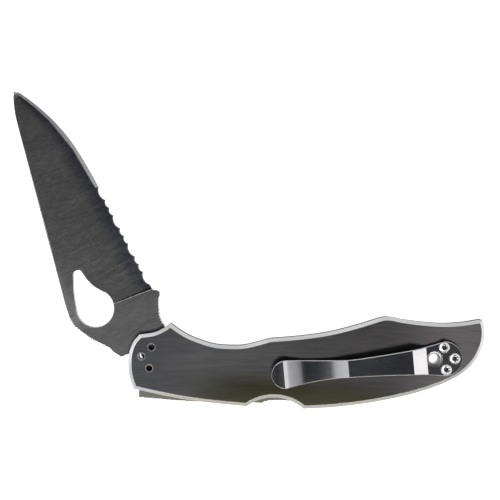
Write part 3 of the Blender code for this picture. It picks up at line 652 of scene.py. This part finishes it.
def refine(node, round_by, shade, pick=None, round_from=EDGE_ANGLE):
    """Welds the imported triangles, shades them and rounds the sharp edges."""
    piece = frame["nodes"][node]
    weld = piece.modifiers.new("weld", "WELD")
    weld.merge_threshold = WELD
    flat = piece.modifiers.new("flat", "DECIMATE")
    flat.decimate_type = "DISSOLVE"
    flat.angle_limit = GRIND_ANGLE if pick else FLAT_ANGLE
    piece.modifiers.new("shade", "NODES").node_group = shade
    if pick:
        piece.modifiers.new("pick", "NODES").node_group = pick
    bevel = piece.modifiers.new("edges", "BEVEL")
    bevel.width = round_by
    bevel.segments = 2
    bevel.limit_method = "WEIGHT" if pick else "ANGLE"
    bevel.angle_limit = round_from
    bevel.use_clamp_overlap = False
    bevel.miter_outer = "MITER_ARC"
    bevel.harden_normals = True


def dress(material, round_by, shade, *nodes, **edges):
    """Gives nodes their material and fine edges."""
    for node in nodes:
        refine(node, round_by, shade, **edges)
        slots = frame["nodes"][node].data.materials
        slots.clear()
        slots.append(material)


def dress_all():
    """Every node's finish and edges."""
    round_walls = shade_tree("round_walls", ROUND_ANGLE)
    crisp = shade_tree("crisp_lines", CRISP_ANGLE)
    ground = shade_tree("ground_faces", GROUND_ANGLE)
    turned = shade_tree("turned_walls", TURNED_ANGLE)
    pins = ("pivot_pin", "rocker_pin", "spacer_pin_front", "spacer_pin_rear")
    screws = ("clip_screw_1", "clip_screw_2", "clip_screw_3")
    bronzes = ("pivot_bushing", "pivot_washer_clip_side", "pivot_washer_rear")
    dress(slab_steel(), SLAB_ROUND, round_walls, "clip_side_slab", "rear_slab")
    dress(blade_steel(), BLADE_ROUND, ground, "blade", pick=pick_tree())
    dress(lock_steel(), LOCK_ROUND, round_walls, "lock_bar", "back_spacer")
    dress(spring_steel(), SPRING_ROUND, round_walls, "lock_spring")
    dress(pin_steel(), PIN_ROUND, round_walls, *pins)
    dress(bronze(), BRONZE_ROUND, round_walls, *bronzes)
    dress(tube_steel(), TUBE_ROUND, turned, "lanyard_tube", round_from=TURNED_ANGLE)
    dress(clip_steel(), CLIP_ROUND, crisp, "pocket_clip")
    dress(screw_steel(), SCREW_ROUND, round_walls, *screws)


# Studio and camera

def lay_floor():
    """A pale floor that glows a little, like a light table, so it stays white under the knife."""
    mesh = bpy.data.meshes.new("floor")
    build = bmesh.new()
    bmesh.ops.create_grid(build, x_segments=1, y_segments=1, size=FLOOR_SIDE / 2)
    build.to_mesh(mesh)
    build.free()
    floor = bpy.data.objects.new("floor", mesh)
    bpy.context.scene.collection.objects.link(floor)
    floor.location = (0.0, 0.0, CAD_LOW.z - FLOOR_DROP)
    shader = Shader("floor")
    shader.set("Base Color", FLOOR_COLOUR)
    shader.set("Roughness", 0.9)
    shader.set("Emission Color", (1.0, 1.0, 1.0, 1.0))
    shader.set("Emission Strength", FLOOR_GLOW)
    mesh.materials.append(shader.material)


def light_studio():
    """A white cove round the knife with a dark card overhead, which the flat steel reflects."""
    world = bpy.data.worlds.new("studio")
    bpy.context.scene.world = world
    world.use_nodes = True
    sky = Nodes(world.node_tree)
    way = sky.node("ShaderNodeTexCoord").outputs["Generated"]
    stretched = sky.vector("MULTIPLY", way, CARD_STRETCH)[0]
    unit = sky.vector("NORMALIZE", stretched)[0]
    near = sky.vector("DOT_PRODUCT", unit, Vector(CARD_WAY).normalized())["Value"]
    beside_card = sky.spread(sky.maths("ARCCOSINE", near), CARD_INNER, CARD_OUTER, smooth=True)
    x, y, z = sky.axes(way)
    wall = sky.blend(sky.spread(y, -1.0, 1.0), CLIP_SIDE_WALL, SLOT_SIDE_WALL)
    wall = sky.blend(sky.spread(x, *FRONT_WALL_X), wall, FRONT_WALL)
    wall = sky.blend(sky.spread(x, *BUTT_WALL_X), wall, BUTT_WALL)
    foot = sky.spread(z, *WALL_FOOT_Z, to_low=WALL_FOOT_SHARE)
    wall = sky.blend(1.0, wall, foot, "MULTIPLY")
    glow = sky.blend(beside_card, CARD_COLOUR, wall)
    back = sky.node("ShaderNodeBackground", {"Color": glow, "Strength": 1.0})
    sky.node("ShaderNodeOutputWorld", {"Surface": back.outputs[0]})


def hang_softbox():
    """One long soft light on the clip's side of the camera."""
    light = bpy.data.lights.new("softbox", "AREA")
    light.shape = "RECTANGLE"
    light.size, light.size_y = SOFTBOX_SIZE
    light.energy = SOFTBOX_POWER
    lamp = bpy.data.objects.new("softbox", light)
    bpy.context.scene.collection.objects.link(lamp)
    lamp.location = SOFTBOX_FROM
    aim = Vector(SOFTBOX_AIM) - lamp.location
    lamp.rotation_mode = "QUATERNION"
    lamp.rotation_quaternion = aim.to_track_quat("-Z", "Y")


def set_camera():
    """Looks straight down at the middle of the knife."""
    data = bpy.data.cameras.new("camera")
    data.sensor_width = SENSOR
    data.lens = SENSOR * CAMERA_HIGH / VIEW_WIDE
    camera = bpy.data.objects.new("camera", data)
    bpy.context.scene.collection.objects.link(camera)
    centre = (CAD_LOW + CAD_HIGH) / 2
    camera.location = (centre.x + CAMERA_SHIFT[0], centre.y + CAMERA_SHIFT[1], CAMERA_HIGH)
    bpy.context.scene.camera = camera
    bpy.context.scene.view_settings.view_transform = "Standard"


dress_all()
lay_floor()
light_studio()
hang_softbox()
set_camera()
